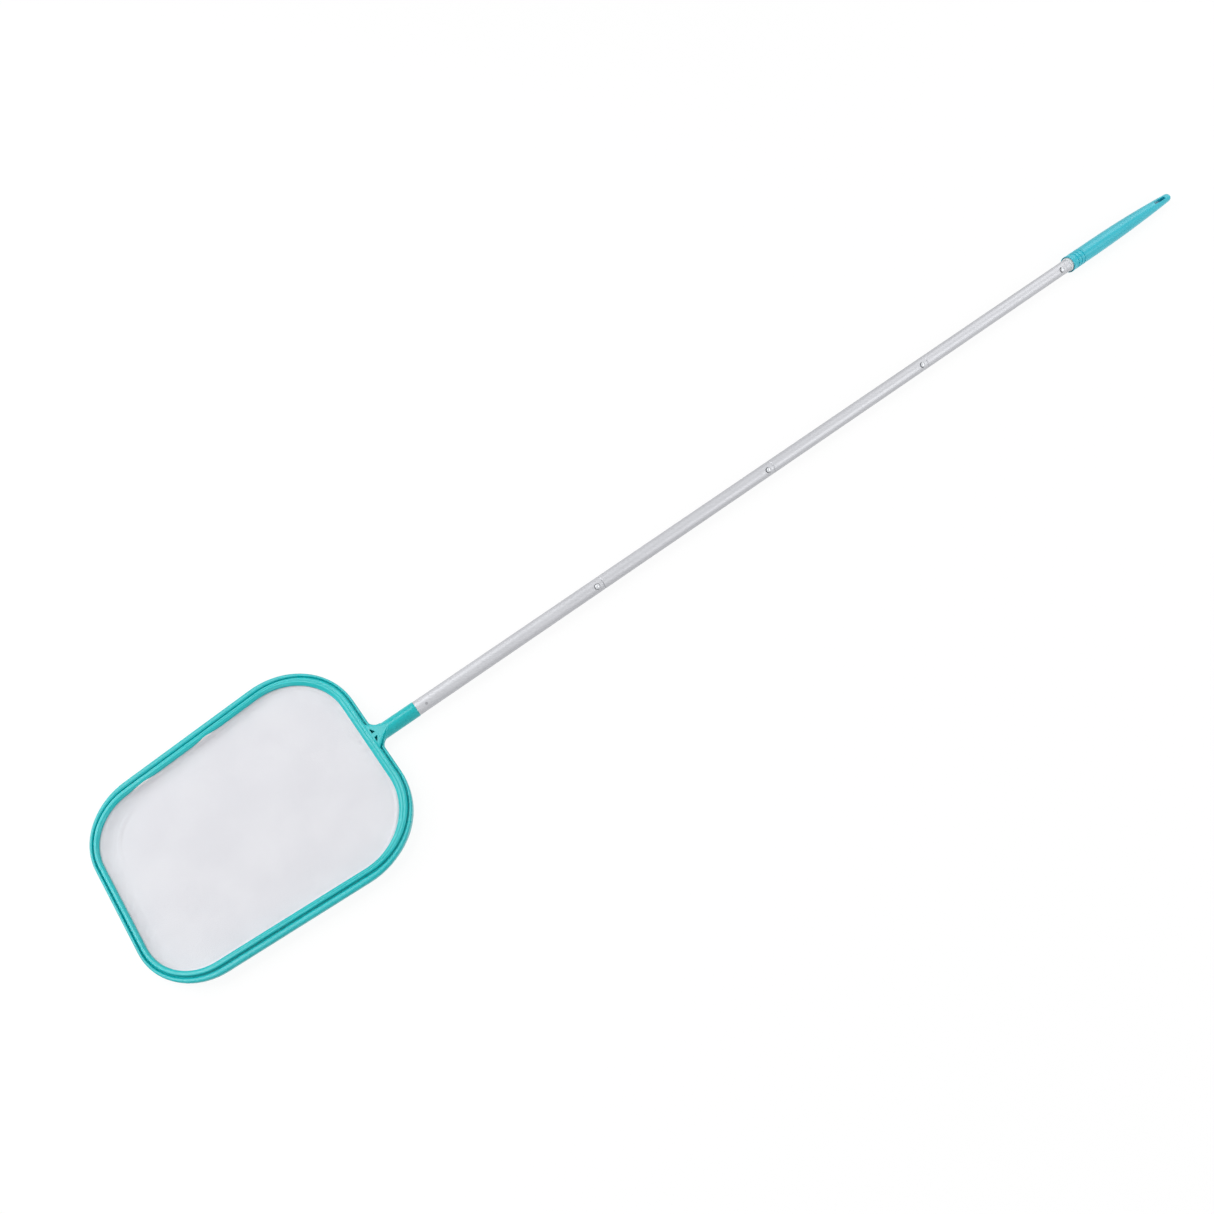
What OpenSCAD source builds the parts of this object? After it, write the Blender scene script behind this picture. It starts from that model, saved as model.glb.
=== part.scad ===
// Leaf skimmer net: a flat rounded net head on a five-section snap-together pole with a tapered grip.
// X runs along the pole, from the net's leading edge (-X) to the grip's tip (+X). Z is up.
// The origin is under the middle of the whole length, on the surface that the skimmer lies on.

/* [Head] */
// Length of the head, along the pole
head_len = 307.5; // [240:0.5:420]
// Width of the head at its leading edge, between the lines of its sides
head_w_far = 231; // [190:0.5:330]
// Width of the head at the pole's end, between the lines of its sides
head_w_near = 275; // [220:0.5:380]
// Corner radius at the leading edge
corner_r_far = 69; // [50:0.5:90]
// Corner radius at the pole's end
corner_r_near = 81; // [50:0.5:100]
// Rim, outer edge to ring groove, along the sides
rim_w_side = 7.5; // [6:0.1:12]
// Rim, outer edge to ring groove, at the leading edge
rim_w_far = 4; // [3.5:0.1:8]
// Rim, outer edge to ring groove, at the pole's end
rim_w_near = 3.5; // [3:0.1:8]
// Ring, groove to inner edge, along the sides
ring_w_side = 7; // [6:0.1:12]
// Ring, groove to inner edge, at the leading edge
ring_w_far = 5; // [4.5:0.1:10]
// Ring, groove to inner edge, at the pole's end
ring_w_near = 10.5; // [8:0.1:16]
// Width of the groove between the ring and the rim
groove_w = 1.2; // [0.6:0.1:2]
// Height of the ring's top above the pole's axis
ring_top_rise = 6.4; // [5:0.1:8]
// Thickness of the retaining ring
ring_t = 4.5; // [3.5:0.1:6]
// Height of the ring's sloping inner band below its top
ring_band_drop = 2; // [1:0.1:2.5]
// Step from the ring's top down to the rim's top
rim_step = 1.6; // [1:0.1:4]
// Thickness of the ledge that the net lies on
ledge_t = 2.4; // [1.6:0.1:3]
// Thickness of the foot rib under the ledge
foot_t = 2.6; // [1.6:0.1:4]
// How far outside the groove the foot rib starts
foot_outset = 2.4; // [1.6:0.1:3.4]
// Thickness of the net
net_t = 0.4; // [0.2:0.05:0.6]
// Distance from the net's edge to the ring's pegs
net_to_peg = 0.7; // [0.3:0.1:1.5]
// Free space above and below the clamped net
net_gap = 0.05; // [0.02:0.01:0.1]

/* [Ring pegs] */
// Diameter of a snap peg under the ring
peg_d = 2.2; // [1.6:0.1:2.6]
// Diameter of a peg's snap head
peg_head_d = 3; // [2.4:0.1:3.4]
// Height of a peg's snap head
peg_head_h = 1.4; // [1:0.1:2]
// Free space around a peg
peg_gap = 0.1; // [0.05:0.05:0.2]
// Pegs along each side of the head
pegs_side = 4; // [2:1:6]
// Distance of each peg at the pole's end from the middle line
peg_near_y = 38; // [26:1:48]

/* [Neck and socket] */
// Length of the neck, rim to the end of the first tube
neck_len = 50.5; // [40:0.5:80]
// Thickness by which the socket's shoulder stands proud of the tube
socket_proud = 0.4; // [0:0.1:1.5]
// Radius of the fillet between the rim and the socket
neck_fillet_r = 10.5; // [6:0.5:14]
// Half width of the web where it meets the ring
web_half_w = 16; // [12:0.5:22]
// Half width of the web where it runs out on the socket
web_tip_half_w = 5; // [3:0.5:7]
// Length of the web, ring to its tip on the socket
web_len = 20; // [16:0.5:28]
// Length of a web window, along the pole
window_len = 3.4; // [2:0.1:4]
// Width of a web window, across the pole
window_w = 5.7; // [3:0.1:7]
// Distance between the two windows
window_gap = 5.4; // [3:0.1:8]
// Length of the spigot inside the first tube
spigot_len = 30; // [20:1:60]
// Radius of the core hole in the socket
core_r = 5.2; // [3:0.1:6]
// Depth of the core hole, from the spigot's end
core_depth = 66; // [30:1:70]
// Distance of the locking pin from the tube's end
pin_x = 12; // [6:0.5:20]
// Diameter of the locking pin
pin_d = 2; // [1.5:0.1:3]
// Diameter of the locking pin's head
pin_head_d = 3; // [2.5:0.1:5]
// Height of the locking pin's head
pin_head_h = 0.5; // [0.3:0.1:1]

/* [Pole] */
// Outer diameter of a tube
tube_d = 17; // [15:0.5:25]
// Wall of a tube
tube_wall = 1; // [0.8:0.1:1.2]
// Length of a pole section, button to button
section_len = 260; // [180:1:420]
// First button's distance from the tube's end at the neck
first_len = 246; // [160:1:400]
// Distance of a button from the end of the outer tube
button_to_end = 8; // [6:0.5:14]
// Length of the reduced end that goes into the next tube
reduced_len = 46; // [42:1:70]
// Length of the cone between the reduced end and the full tube
swage_len = 1.5; // [1:0.1:4]
// Free space around the reduced end and the spigot
slip = 0.1; // [0.05:0.05:0.2]

/* [Snap buttons] */
// Angle by which the buttons and the locking pin are turned about the pole from straight up
button_turn = 33; // [0:1:60]
// Diameter of a snap button
button_d = 6; // [5:0.1:7]
// Height of a snap button above the tube
button_proud = 2.2; // [1.5:0.1:3]
// Radius of the button's domed top
button_dome_r = 4.4; // [3.6:0.1:8]
// Amount by which the outer tube's hole is wider than the button
hole_outer_gap = 1.4; // [0.8:0.1:2]
// Amount by which the reduced end's hole is wider than the button
hole_inner_gap = 0.4; // [0.2:0.1:0.8]
// Amount by which the button's flange is wider than the button
flange_over = 1.2; // [0.9:0.1:2]
// Thickness of the button's flange
flange_t = 0.8; // [0.5:0.1:1.2]
// Diameter of the button's rivet peg
rivet_d = 2.4; // [1.5:0.1:3]
// Thickness of the spring strip
strip_t = 0.6; // [0.4:0.1:0.8]
// Width of the spring strip
strip_w = 6.4; // [4:0.1:7]
// Length of the spring, button to bend
spring_len = 30; // [20:1:34]
// Outer radius of the spring's bend
bend_r = 2.5; // [1.8:0.1:3]

/* [Grip] */
// Length of the grip
grip_len = 208; // [170:1:260]
// Thickness of the grip's wall at its mouth
grip_wall = 2.5; // [2:0.1:4]
// Last button's distance from the grip's mouth
grip_gap = 20; // [14:1:60]
// Length of the collar at the grip's mouth
collar_len = 9; // [5:0.5:15]
// Thickness by which the collar stands proud
collar_proud = 0.3; // [0:0.1:1]
// Number of grip grooves
grip_grooves = 3; // [1:1:6]
// Width of a grip groove
grip_groove_w = 1.4; // [0.8:0.1:3]
// Depth of a grip groove
grip_groove_d = 0.6; // [0.3:0.1:1]
// Distance from one grip groove to the next
grip_groove_pitch = 4.6; // [3:0.1:8]
// Length of the grip's straight part
grip_straight = 45; // [40:1:80]
// Diameter that the grip's taper ends with at the tip
tip_d = 11.4; // [9:0.1:14]
// Radius of the grip's rounded tip
tip_round = 4; // [2:0.1:5]
// Depth of the tube's seat in the grip
seat_len = 112; // [60:1:120]
// Free space around the tube in the grip
seat_gap = 0.05; // [0.02:0.01:0.1]
// Length of the bush outside the grip's mouth
bush_out = 2.6; // [1:0.1:5]
// Length of the bush inside the grip
bush_in = 8; // [4:0.5:12]
// Thickness of the bush inside the grip
bush_wall = 1; // [0.6:0.1:1.2]
// Distance from the grip's outside to the bush's widest edge
bush_inset = 1.3; // [0.5:0.1:2]
// Distance from the tip at which the flat on top starts
flat_len = 56; // [40:1:70]
// Slope of the flat on top, in degrees
flat_slope = 5.2; // [3:0.1:8]
// Length of the hanging slot
slot_len = 21; // [12:0.5:26]
// Width of the hanging slot
slot_w = 5.2; // [4.6:0.1:6]
// Distance of the hanging slot's end from the tip
slot_to_tip = 11; // [8:0.5:16]

/* [Hidden] */
$fn = 96;
cut = 1;
buttons = 4;
tube_r = tube_d / 2;
bore_r = tube_r - tube_wall;
reduced_r = bore_r - slip;
reduced_bore_r = reduced_r - tube_wall;
grip_d = tube_d + 2 * grip_wall;
grip_r = grip_d / 2;
collar_r = grip_r + collar_proud;
socket_r = tube_r + socket_proud;

// Places along the pole
overall_len = head_len + neck_len + first_len + (buttons - 1) * section_len + grip_gap + grip_len;
head_far_x = -overall_len / 2;
head_near_x = head_far_x + head_len;
shoulder_x = head_near_x + neck_len;
mouth_x = button_x(buttons - 1) + grip_gap;
tip_x = mouth_x + grip_len;
function button_x(i) = shoulder_x + first_len + i * section_len;
function joint_x(i) = button_x(i) + button_to_end;

// Heights
axis_z = collar_r;
ring_top = axis_z + ring_top_rise;
ring_bottom = ring_top - ring_t;
ledge_top = ring_bottom - net_t - 2 * net_gap;
rim_bottom = ledge_top - ledge_t;
rim_top = ring_top - rim_step;

// Outlines of the head, each a rounded trapezoid [far x, near x, far half width, near half width, far r, near r]
side_slope = atan((head_w_near - head_w_far) / 2 / head_len);
function outline(far, near, side) = [
    head_far_x + far,
    head_near_x - near,
    head_w_far / 2 + far * tan(side_slope) - side,
    head_w_near / 2 - near * tan(side_slope) - side,
    corner_r_far - side,
    corner_r_near - side
];
// The groove's line moved inwards (+) or outwards (-) by one distance all round
function groove_line(d) = outline(rim_w_far + d, rim_w_near + d, rim_w_side + d);
// The ring's inner edge moved outwards by one distance all round
function inner_line(d) = outline(
    rim_w_far + ring_w_far - d,
    rim_w_near + ring_w_near - d,
    rim_w_side + ring_w_side - d
);
rim_line = outline(0, 0, 0);
ring_line = groove_line(groove_w / 2);
pocket_line = groove_line(-groove_w / 2);
foot_outer_line = groove_line(-foot_outset);
foot_inner_line = groove_line(foot_t - foot_outset);

function side_y(o, x) = o[2] + (x - o[0]) * tan(side_slope);
function far_centre(o) = [o[0] + o[4], side_y(o, o[0] + o[4]) - o[4] / cos(side_slope)];
function near_centre(o) = [o[1] - o[5], side_y(o, o[1] - o[5]) - o[5] / cos(side_slope)];
function side_point(c, r) = c + r * [-sin(side_slope), cos(side_slope)];

// Snap buttons
hole_outer_d = button_d + hole_outer_gap;
hole_inner_d = button_d + hole_inner_gap;
flange_d = button_d + flange_over;
button_top = tube_r + button_proud;
flange_gap = 0.1;
flange_top = sqrt(pow(reduced_bore_r, 2) - pow(flange_d / 2, 2)) - flange_gap;
flange_bottom = flange_top - flange_t;
strip_gap = 0.05;
pad_top = flange_bottom - strip_gap;
strip_floor = -sqrt(pow(reduced_bore_r, 2) - pow(strip_w / 2, 2)) + strip_gap;
pad_half = button_d / 2 + 1;
bend_step = 15;

// Locking pin
pin_gap = 0.05;
pin_depth = tube_r - core_r + 1;

// Places of the ring's snap pegs
peg_edge = 0.5;
peg_inset = groove_w / 2 + peg_d / 2 + peg_edge;
net_grip = ring_w_side - peg_inset - peg_d / 2 - net_to_peg;
peg_line = groove_line(peg_inset);
function side_peg(i) = let (
    a = side_point(far_centre(peg_line), peg_line[4]),
    b = side_point(near_centre(peg_line), peg_line[5]),
    f = (i + 0.5) / pegs_side
) a + f * (b - a);
near_peg_inset = ring_w_near / 2;
near_peg_x = head_near_x - rim_w_near - near_peg_inset;
peg_places = concat(
    [for (i = [0:pegs_side - 1], m = [-1, 1]) [side_peg(i)[0], m * side_peg(i)[1]]],
    [for (m = [-1, 1]) [near_peg_x, m * peg_near_y]]
);

// Web between the ring and the socket
web_x = ring_line[1] + 0.15;
web_end_x = web_x + web_len;
web_slope = atan((axis_z + socket_r - ring_top) / web_len);
web_run = web_len - 4;
web_rise = web_half_w - web_tip_half_w;
web_curve_r = (pow(web_run, 2) + pow(web_rise, 2)) / (2 * web_rise);
window_x = web_x + 0.9;

// Grip
taper_run = grip_len - grip_straight - tip_round;
taper_fall = (grip_d - tip_d) / 2;
taper_r = (pow(taper_run, 2) + pow(taper_fall, 2)) / (2 * taper_fall);
bush_bore_r = tube_r + seat_gap;
bush_r = bush_bore_r + bush_wall;
bush_lip = 0.35;
taper_steps = 16;
tip_step = 15;
function taper_at(y) = grip_r - taper_r + sqrt(pow(taper_r, 2) - pow(y - grip_straight, 2));
groove_start = collar_len + 2;
slot_x = grip_len - slot_to_tip - slot_len / 2;

teal = "#4cc4c2";
grip_teal = "#4cc0cc";
net_white = "#e4e6ea";
bush_white = "#eef1f2";
aluminium = "#cfd1d4";
steel = "#dfe3e6";
spring_steel = "#8f959b";

// ---- shared shapes ----

function trapezoid_points(o) = let (
    fc = far_centre(o),
    nc = near_centre(o),
    fp = side_point(fc, o[4]),
    np = side_point(nc, o[5])
) [
    [o[0], -fc[1]], [o[0], fc[1]], fp, np,
    [o[1], nc[1]], [o[1], -nc[1]], [np[0], -np[1]], [fp[0], -fp[1]]
];

module rounded_trapezoid(o) {
    fc = far_centre(o);
    nc = near_centre(o);
    polygon(trapezoid_points(o));
    for (m = [-1, 1]) {
        translate([fc[0], m * fc[1]]) circle(r = o[4]);
        translate([nc[0], m * nc[1]]) circle(r = o[5]);
    }
}

module slab(o, z0, z1) {
    translate([0, 0, z0]) linear_extrude(z1 - z0) rounded_trapezoid(o);
}

// Turns a shape made along +Z into one along +X on the pole's axis, starting at x
module along_pole(x) {
    translate([x, 0, axis_z]) rotate([0, 90, 0]) children();
}

module pole_hole(x, d) {
    translate([x, 0, axis_z]) rotate([button_turn, 0, 0]) cylinder(d = d, h = tube_r + cut);
}

// ---- head ----

module net_frame() {
    color(teal) {
        difference() {
            union() {
                slab(rim_line, rim_bottom, rim_top);
                slab(foot_outer_line, 0, rim_bottom);
                neck();
            }
            slab(pocket_line, ledge_top, rim_top + cut, $fn = 128);
            slab(inner_line(0), -cut, ring_top + cut);
            slab(foot_inner_line, -cut, rim_bottom);
            for (p = peg_places) {
                translate([p[0], p[1], rim_bottom - cut])
                    cylinder(d = peg_d + 2 * peg_gap, h = ledge_t + 2 * cut);
            }
        }
        web();
        socket();
    }
}

// Low part of the neck, at the rim's height, with a fillet on each side
module neck() {
    r = neck_fillet_r;
    translate([0, 0, rim_bottom]) linear_extrude(rim_top - rim_bottom) difference() {
        translate([head_near_x - rim_w_near, -socket_r - r]) square([rim_w_near + r, 2 * (socket_r + r)]);
        for (m = [-1, 1]) {
            translate([head_near_x + r, m * (socket_r + r)]) circle(r = r);
        }
    }
}

// Sloping web from the ring's top to the top of the socket, with two windows
module web() {
    difference() {
        translate([web_x, 0, rim_bottom]) linear_extrude(axis_z + socket_r - rim_bottom) difference() {
            translate([0, -web_half_w]) square([web_run, 2 * web_half_w]);
            for (m = [-1, 1]) {
                translate([web_run, m * (web_tip_half_w + web_curve_r)]) circle(r = web_curve_r);
            }
        }
        above_web();
        for (m = [-1, 1]) {
            scale([1, m, 1]) translate([window_x, window_gap / 2, rim_bottom - cut])
                linear_extrude(ring_t + ledge_t + 4 * cut)
                    polygon([[0, 0], [window_len, 0], [0, window_w]]);
        }
    }
}

module above_web() {
    translate([web_x, 0, ring_top]) rotate([0, -web_slope, 0])
        translate([-web_len, -web_half_w * 2, 0]) cube([3 * web_len, 4 * web_half_w, 2 * socket_r]);
}

// Round socket with the spigot that goes into the first tube
module socket() {
    start_x = foot_outer_line[1] - foot_t / 2;
    difference() {
        union() {
            difference() {
                along_pole(start_x) cylinder(r = socket_r, h = shoulder_x - start_x);
                above_web();
                slab(groove_line(-0.15), ledge_top, axis_z + 2 * socket_r);
            }
            along_pole(shoulder_x - cut) cylinder(r = reduced_r, h = spigot_len + cut);
        }
        along_pole(shoulder_x + spigot_len - core_depth) cylinder(r = core_r, h = core_depth + cut);
        pole_hole(shoulder_x + pin_x, pin_d + 2 * pin_gap);
    }
}

module retaining_ring() {
    color(teal) {
        difference() {
            slab(ring_line, ring_bottom, ring_top);
            slab(inner_line(0), ring_bottom - cut, ring_top + cut);
            slab(inner_line(ring_w_side / 2), ring_top - ring_band_drop, ring_top + cut);
        }
        for (p = peg_places) {
            translate([p[0], p[1], 0]) peg();
        }
    }
}

// Snap peg through the ledge, with its head below
module peg() {
    bottom = rim_bottom - peg_gap - peg_head_h;
    translate([0, 0, bottom]) cylinder(d = peg_d, h = ring_bottom - bottom + cut);
    translate([0, 0, bottom]) cylinder(d1 = peg_d, d2 = peg_head_d, h = peg_head_h);
}

module net_mesh() {
    o = inner_line(net_grip);
    color(net_white) translate([0, 0, ledge_top + net_gap]) {
        linear_extrude(net_t) polygon(trapezoid_points(o));
        for (m = [-1, 1]) {
            translate([far_centre(o)[0], m * far_centre(o)[1], 0]) cylinder(r = o[4], h = net_t);
            translate([near_centre(o)[0], m * near_centre(o)[1], 0]) cylinder(r = o[5], h = net_t);
        }
    }
}

module locking_pin() {
    color(spring_steel) translate([shoulder_x + pin_x, 0, axis_z]) rotate([button_turn, 0, 0]) {
        translate([0, 0, tube_r - pin_depth]) cylinder(d = pin_d, h = pin_depth);
        translate([0, 0, tube_r]) cylinder(d = pin_head_d, h = pin_head_h);
    }
}

// ---- pole ----

// Tube i of the pole, from the neck: every tube but the first starts with a reduced end
module tube(i) {
    first = i == 1;
    last = i == buttons + 1;
    start = first ? shoulder_x : joint_x(i - 2);
    end = last ? mouth_x + seat_len - 2 : joint_x(i - 1);
    len = end - start;
    color(aluminium) difference() {
        along_pole(start) rotate_extrude() {
            if (first) {
                translate([bore_r, 0]) square([tube_wall, len]);
            } else {
                polygon([
                    [reduced_bore_r, -reduced_len], [reduced_r, -reduced_len], [reduced_r, 0],
                    [tube_r, swage_len], [tube_r, len], [bore_r, len],
                    [bore_r, swage_len], [reduced_bore_r, 0]
                ]);
            }
        }
        if (first) pole_hole(shoulder_x + pin_x, pin_d + 2 * pin_gap);
        if (!first) pole_hole(button_x(i - 2), hole_inner_d);
        if (!last) pole_hole(button_x(i - 1), hole_outer_d);
    }
}

module tube_1() { tube(1); }
module tube_2() { tube(2); }
module tube_3() { tube(3); }
module tube_4() { tube(4); }
module tube_5() { tube(5); }

// ---- snap buttons ----

module snap_button(i) {
    dome_z = button_top - button_dome_r;
    color(steel) translate([button_x(i - 1), 0, axis_z]) rotate([button_turn, 0, 0]) {
        intersection() {
            translate([0, 0, flange_bottom]) cylinder(d = button_d, h = button_top - flange_bottom);
            translate([0, 0, dome_z]) sphere(r = button_dome_r);
        }
        translate([0, 0, flange_bottom]) cylinder(d = button_d, h = dome_z - flange_bottom);
        translate([0, 0, flange_bottom]) cylinder(d = flange_d, h = flange_t);
        translate([0, 0, flange_bottom - strip_t - strip_gap]) cylinder(d = rivet_d, h = strip_t + flange_t);
    }
}

module snap_button_1() { snap_button(1); }
module snap_button_2() { snap_button(2); }
module snap_button_3() { snap_button(3); }
module snap_button_4() { snap_button(4); }

// Bent spring strip, its bend towards the net and its upper leg under the button
module button_spring(i) {
    bend_z = strip_floor + bend_r;
    leg_x = -spring_len;
    color(spring_steel) translate([button_x(i - 1), 0, axis_z]) rotate([button_turn, 0, 0]) difference() {
        rotate([90, 0, 0]) linear_extrude(strip_w, center = true) polygon(concat(
            [[pad_half, strip_floor + strip_t], [pad_half, strip_floor]],
            [for (a = [90:bend_step:270]) [leg_x, bend_z] + bend_r * [cos(a), -sin(a)]],
            [[-pad_half, pad_top], [pad_half, pad_top]],
            [[pad_half, pad_top - strip_t], [-pad_half, pad_top - strip_t]],
            [for (a = [270:-bend_step:90]) [leg_x, bend_z] + (bend_r - strip_t) * [cos(a), -sin(a)]]
        ));
        translate([0, 0, pad_top - strip_t - cut]) cylinder(d = rivet_d + 0.2, h = strip_t + 2 * cut);
    }
}

module button_spring_1() { button_spring(1); }
module button_spring_2() { button_spring(2); }
module button_spring_3() { button_spring(3); }
module button_spring_4() { button_spring(4); }

// ---- grip ----

module grip() {
    color(grip_teal) difference() {
        along_pole(mouth_x) rotate_extrude() grip_profile();
        along_pole(mouth_x - cut) cylinder(r = bush_bore_r, h = seat_len + cut);
        along_pole(mouth_x - cut) cylinder(r = bush_r + seat_gap, h = bush_in + seat_gap + cut);
        translate([tip_x - flat_len, 0, axis_z + grip_r - grip_top_drop()]) rotate([0, flat_slope, 0])
            translate([0, -grip_d, 0]) cube([2 * flat_len, 2 * grip_d, grip_d]);
        translate([mouth_x + slot_x, 0, axis_z - grip_d]) hanging_slot();
    }
}

// Flanged bush around the last tube in the grip's mouth, with a sloping face towards the tube
module grip_bush() {
    color(bush_white) along_pole(mouth_x) rotate_extrude() polygon([
        [bush_bore_r, -bush_out], [bush_bore_r + bush_lip, -bush_out],
        [collar_r - bush_inset, -seat_gap - bush_lip], [collar_r - bush_inset, -seat_gap],
        [bush_r, -seat_gap], [bush_r, bush_in], [bush_bore_r, bush_in]
    ]);
}

// How far the taper has fallen where the flat starts
function grip_top_drop() = grip_r - taper_at(grip_len - flat_len);

// Half section of the grip: a collar, grooves, a straight part and a long curved taper to a round tip
module grip_profile() {
    end_r = tip_d / 2;
    polygon(concat(
        [[0, 0], [collar_r, 0], [collar_r, collar_len], [grip_r, collar_len]],
        [for (i = [0:grip_grooves - 1], c = [[0, 0], [1, 0], [1, 1], [0, 1]])
            [grip_r - c[0] * grip_groove_d, groove_start + i * grip_groove_pitch + c[1] * grip_groove_w]],
        [for (i = [0:taper_steps - 1]) let (y = grip_straight + i * taper_run / taper_steps) [taper_at(y), y]],
        [for (a = [0:tip_step:90])
            [end_r - tip_round + tip_round * cos(a), grip_len - tip_round + tip_round * sin(a)]],
        [[0, grip_len]]
    ));
}

module hanging_slot() {
    half = (slot_len - slot_w) / 2;
    linear_extrude(2 * grip_d) polygon(concat(
        [for (a = [-90:tip_step:90]) [half, 0] + slot_w / 2 * [cos(a), sin(a)]],
        [for (a = [90:tip_step:270]) [-half, 0] + slot_w / 2 * [cos(a), sin(a)]]
    ));
}

net_frame();
retaining_ring();
net_mesh();
locking_pin();
tube_1();
tube_2();
tube_3();
tube_4();
tube_5();
snap_button_1();
snap_button_2();
snap_button_3();
snap_button_4();
button_spring_1();
button_spring_2();
button_spring_3();
button_spring_4();
grip();
grip_bush();
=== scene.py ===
import math

import bmesh
import bpy
from mathutils import Matrix, Quaternion, Vector, noise


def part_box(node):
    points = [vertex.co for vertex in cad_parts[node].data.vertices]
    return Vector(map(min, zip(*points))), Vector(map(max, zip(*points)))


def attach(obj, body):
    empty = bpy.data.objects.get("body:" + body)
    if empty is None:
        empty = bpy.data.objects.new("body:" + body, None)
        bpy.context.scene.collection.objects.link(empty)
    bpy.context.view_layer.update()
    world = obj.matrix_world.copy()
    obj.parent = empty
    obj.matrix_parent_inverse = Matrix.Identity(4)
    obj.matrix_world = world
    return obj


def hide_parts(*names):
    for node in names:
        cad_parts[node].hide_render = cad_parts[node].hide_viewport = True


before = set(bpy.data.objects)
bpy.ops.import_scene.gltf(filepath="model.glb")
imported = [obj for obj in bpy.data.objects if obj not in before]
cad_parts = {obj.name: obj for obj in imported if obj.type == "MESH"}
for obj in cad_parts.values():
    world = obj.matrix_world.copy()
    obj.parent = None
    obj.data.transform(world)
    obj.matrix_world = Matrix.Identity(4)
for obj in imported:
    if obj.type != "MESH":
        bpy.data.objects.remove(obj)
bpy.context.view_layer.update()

MM = 0.001
MERGE_DIST = 1e-4  # in millimetres, as the next one
TOUCH = 0.01

# ---------------------------------------------------------------- sizes, in millimetres

HEAD_LEN = 307.5
HEAD_W_FAR = 231
HEAD_W_NEAR = 275
CORNER_R_FAR = 69
CORNER_R_NEAR = 81
RIM_W = (4, 3.5, 7.5)  # far end, pole's end, sides
RING_W = (5, 10.5, 7)
GROOVE_W = 1.2
FOOT_OUTSET = 2.4
FOOT_T = 2.6
RING_T = 4.5
NET_ROOM = 0.5
LEDGE_T = 2.4
RIM_STEP = 1.2
GROOVE_DEPTH = 2.6

AXIS_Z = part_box("grip")[1].z / MM / 2
RING_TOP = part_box("retaining_ring")[1].z / MM
RING_BOTTOM = RING_TOP - RING_T
LEDGE_TOP = RING_BOTTOM - NET_ROOM
RIM_BOTTOM = LEDGE_TOP - LEDGE_T
RIM_TOP = RING_TOP - RIM_STEP
GROOVE_FLOOR = RIM_TOP - GROOVE_DEPTH
NET_Z = LEDGE_TOP + NET_ROOM / 2

HEAD_FAR_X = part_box("net_frame")[0].x / MM
HEAD_NEAR_X = HEAD_FAR_X + HEAD_LEN
SHOULDER_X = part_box("tube_1")[0].x / MM
SOCKET_R = 8.9
SPIGOT_R = 7.4
SPIGOT_LEN = 30
CORE_R = 5.2
NECK_FILLET_R = 10.5

GRIP_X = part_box("grip")[0].x / MM
GRIP_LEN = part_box("grip")[1].x / MM - GRIP_X
GRIP_R = 11
COLLAR_R = AXIS_Z
TIP_R = 5.7

SIDE_SLOPE = math.atan((HEAD_W_NEAR - HEAD_W_FAR) / 2 / HEAD_LEN)


# ---------------------------------------------------------------- outlines of the head

class Outline:
    """A rounded trapezoid, set in from the rim's outer edge at each end and at the sides."""

    def __init__(self, far, near, side):
        self.insets = (far, near, side)
        self.far_x = HEAD_FAR_X + far
        self.near_x = HEAD_NEAR_X - near
        self.half_far = HEAD_W_FAR / 2 + far * math.tan(SIDE_SLOPE) - side
        self.radii = (CORNER_R_FAR - side, CORNER_R_NEAR - side)
        centre_xs = (self.far_x + self.radii[0], self.near_x - self.radii[1])
        self.centres = tuple(
            (x, self.half_at(x) - r / math.cos(SIDE_SLOPE)) for x, r in zip(centre_xs, self.radii)
        )

    def half_at(self, x):
        return self.half_far + (x - self.far_x) * math.tan(SIDE_SLOPE)

    def toward(self, other, part):
        return Outline(*(a + part * (b - a) for a, b in zip(self.insets, other.insets)))

    def points(self, z, arc_steps=20, side_steps=8):
        """Its points anticlockwise from the middle of the pole's end, evenly on each arc and side."""
        (far_x, far_y), (near_x, near_y) = self.centres
        far_r, near_r = self.radii
        half_turn = math.pi
        side_normal = half_turn / 2 + SIDE_SLOPE
        arcs = (
            (near_x, near_y, near_r, 0, side_normal),
            (far_x, far_y, far_r, side_normal, half_turn),
            (far_x, -far_y, far_r, half_turn, 2 * half_turn - side_normal),
            (near_x, -near_y, near_r, 2 * half_turn - side_normal, 2 * half_turn),
        )
        out = []
        for x, y, r, start, end in arcs:
            for i in range(arc_steps + 1):
                a = start + (end - start) * i / arc_steps
                out.append(Vector((x + r * math.cos(a), y + r * math.sin(a), z)))
        full = []
        for i, p in enumerate(out):
            full.append(p)
            if i % (arc_steps + 1) == arc_steps:
                q = out[(i + 1) % len(out)]
                full += [p.lerp(q, k / side_steps) for k in range(1, side_steps)]
        return full


def groove_line(d):
    return Outline(RIM_W[0] + d, RIM_W[1] + d, RIM_W[2] + d)


RIM_LINE = Outline(0, 0, 0)
POCKET_LINE = groove_line(-GROOVE_W / 2)
RING_LINE = groove_line(GROOVE_W / 2)
INNER_LINE = Outline(*(a + b for a, b in zip(RIM_W, RING_W)))

SEAT_GAP = 0.1
SEAT_LINE = groove_line(GROOVE_W / 2 - SEAT_GAP)


# ---------------------------------------------------------------- mesh helpers

def in_scene(name, data):
    made = bpy.data.objects.new(name, data)
    bpy.context.scene.collection.objects.link(made)
    return made


def as_mesh(name, bm):
    mesh = bpy.data.meshes.new(name)
    bm.to_mesh(mesh)
    bm.free()
    return mesh


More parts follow.
